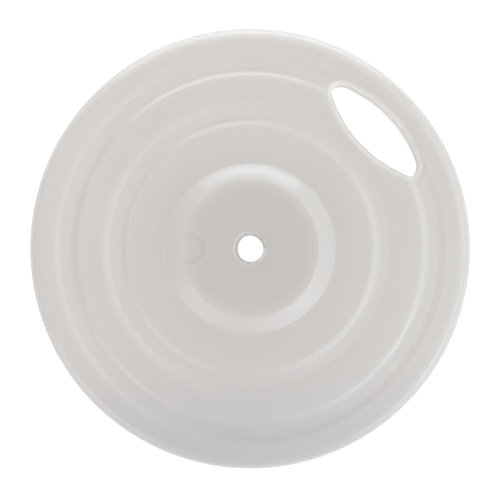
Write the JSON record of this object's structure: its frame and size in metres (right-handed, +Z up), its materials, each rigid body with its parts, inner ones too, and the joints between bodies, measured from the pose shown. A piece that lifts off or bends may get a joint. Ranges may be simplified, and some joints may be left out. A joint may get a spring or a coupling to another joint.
{
  "type": "balloon arch base",
  "caption": "Round hollow moulded base that is filled with water or sand, with a centre pole hole, a hand slot and a screw-plugged filler underneath.",
  "frame": {"origin": "on the pole hole's axis, at the floor that the base stands on", "axes": "+Z up along the pole, +Y towards the middle of the hand slot, +X along the slot"},
  "size_m": [0.4, 0.4, 0.053],
  "materials": {
    "milky_polyethylene": "satin",
    "socket_polyethylene": "satin",
    "plug_polyethylene": "satin",
    "washer_rubber": "matte"
  },
  "bodies": {
    "base": {"base_shell": "milky_polyethylene", "filler_socket": "socket_polyethylene"},
    "washer": {"plug_washer": "washer_rubber"},
    "plug": {"filler_plug": "plug_polyethylene"}
  },
  "joints": [
    {"name": "plug_lift", "type": "slide", "parent": "base", "child": "washer", "axis": [0, 0, -1], "range_m": [0, 0.011]},
    {"name": "plug_turn", "type": "hinge", "parent": "washer", "child": "plug", "pos_m": [-0.03693, -0.03905, 0.0235], "axis": [0, 0, -1], "range_deg": [0, 792]}
  ],
  "couplings": [
    {"joint": "plug_lift", "follows": "plug_turn", "m_per_rad": 0.00079577}
  ]
}
